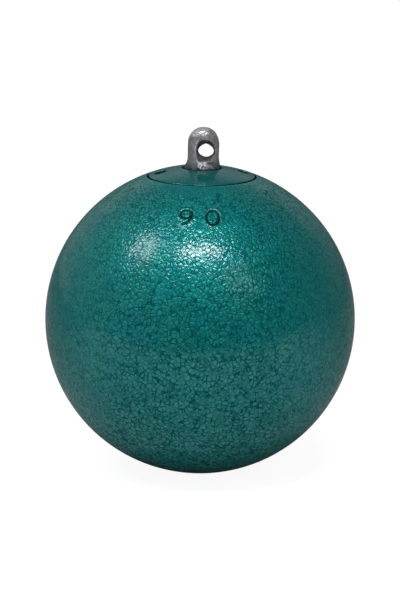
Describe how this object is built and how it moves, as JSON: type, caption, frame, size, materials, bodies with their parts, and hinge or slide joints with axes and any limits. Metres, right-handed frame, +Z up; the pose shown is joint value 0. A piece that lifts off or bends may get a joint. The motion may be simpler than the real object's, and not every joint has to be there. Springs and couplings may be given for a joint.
{
  "type": "throwing hammer head",
  "caption": "Painted iron ball of a throwing hammer, hung on a steel wire eye whose spindle swivels on a caged thrust ball bearing under a screwed cap.",
  "frame": {"origin": "on the swivel axis, level with the centre of the wire hole in the eye, 49.6 mm above the ball's centre", "axes": "+Z up along the swivel axis and out of the eye; the wire hole runs along Y, and -Y is the side pictured; +X to the right of it"},
  "size_m": [0.09, 0.09, 0.1013],
  "materials": {
    "ball_paint": "gloss",
    "bare_steel": "satin",
    "bearing_steel": "polished",
    "plated_steel": "satin",
    "bush_bronze": "satin",
    "cage_brass": "satin",
    "seal_rubber": "matte"
  },
  "bodies": {
    "spindle": {"eye_spindle": "bare_steel", "shaft_washer": "bearing_steel", "nut_washer": "plated_steel", "slotted_nut": "plated_steel", "split_pin": "plated_steel"},
    "head": {"head_casting": "ball_paint", "bearing_cap": "ball_paint", "spindle_bush": "bush_bronze", "dust_seal": "seal_rubber", "housing_washer": "bearing_steel"},
    "cage": {"ball_cage": "cage_brass"},
    "ball_01": {"bearing_ball_01": "bearing_steel"},
    "ball_02": {"bearing_ball_02": "bearing_steel"},
    "ball_03": {"bearing_ball_03": "bearing_steel"},
    "ball_04": {"bearing_ball_04": "bearing_steel"},
    "ball_05": {"bearing_ball_05": "bearing_steel"},
    "ball_06": {"bearing_ball_06": "bearing_steel"},
    "ball_07": {"bearing_ball_07": "bearing_steel"},
    "ball_08": {"bearing_ball_08": "bearing_steel"},
    "ball_09": {"bearing_ball_09": "bearing_steel"}
  },
  "joints": [
    {"name": "head_swivel", "type": "hinge", "parent": "spindle", "child": "head", "pos_m": [0, 0, -0.0241], "axis": [0, 0, 1], "continuous": true},
    {"name": "cage_orbit", "type": "hinge", "parent": "spindle", "child": "cage", "pos_m": [0, 0, -0.0241], "axis": [0, 0, 1], "continuous": true},
    {"name": "ball_01_roll", "type": "hinge", "parent": "cage", "child": "ball_01", "pos_m": [0.0085, 0, -0.0241], "axis": [1, 0, 0], "continuous": true},
    {"name": "ball_02_roll", "type": "hinge", "parent": "cage", "child": "ball_02", "pos_m": [0.00651, 0.00546, -0.0241], "axis": [0.766, 0.6428, 0], "continuous": true},
    {"name": "ball_03_roll", "type": "hinge", "parent": "cage", "child": "ball_03", "pos_m": [0.00148, 0.00837, -0.0241], "axis": [0.1736, 0.9848, 0], "continuous": true},
    {"name": "ball_04_roll", "type": "hinge", "parent": "cage", "child": "ball_04", "pos_m": [-0.00425, 0.00736, -0.0241], "axis": [-0.5, 0.866, 0], "continuous": true},
    {"name": "ball_05_roll", "type": "hinge", "parent": "cage", "child": "ball_05", "pos_m": [-0.00799, 0.00291, -0.0241], "axis": [-0.9397, 0.342, 0], "continuous": true},
    {"name": "ball_06_roll", "type": "hinge", "parent": "cage", "child": "ball_06", "pos_m": [-0.00799, -0.00291, -0.0241], "axis": [-0.9397, -0.342, 0], "continuous": true},
    {"name": "ball_07_roll", "type": "hinge", "parent": "cage", "child": "ball_07", "pos_m": [-0.00425, -0.00736, -0.0241], "axis": [-0.5, -0.866, 0], "continuous": true},
    {"name": "ball_08_roll", "type": "hinge", "parent": "cage", "child": "ball_08", "pos_m": [0.00148, -0.00837, -0.0241], "axis": [0.1736, -0.9848, 0], "continuous": true},
    {"name": "ball_09_roll", "type": "hinge", "parent": "cage", "child": "ball_09", "pos_m": [0.00651, -0.00546, -0.0241], "axis": [0.766, -0.6428, 0], "continuous": true}
  ],
  "couplings": [
    {"joint": "cage_orbit", "follows": "head_swivel", "ratio": 0.5},
    {"joint": "ball_01_roll", "follows": "head_swivel", "ratio": -1.7857},
    {"joint": "ball_02_roll", "follows": "head_swivel", "ratio": -1.7857},
    {"joint": "ball_03_roll", "follows": "head_swivel", "ratio": -1.7857},
    {"joint": "ball_04_roll", "follows": "head_swivel", "ratio": -1.7857},
    {"joint": "ball_05_roll", "follows": "head_swivel", "ratio": -1.7857},
    {"joint": "ball_06_roll", "follows": "head_swivel", "ratio": -1.7857},
    {"joint": "ball_07_roll", "follows": "head_swivel", "ratio": -1.7857},
    {"joint": "ball_08_roll", "follows": "head_swivel", "ratio": -1.7857},
    {"joint": "ball_09_roll", "follows": "head_swivel", "ratio": -1.7857}
  ]
}
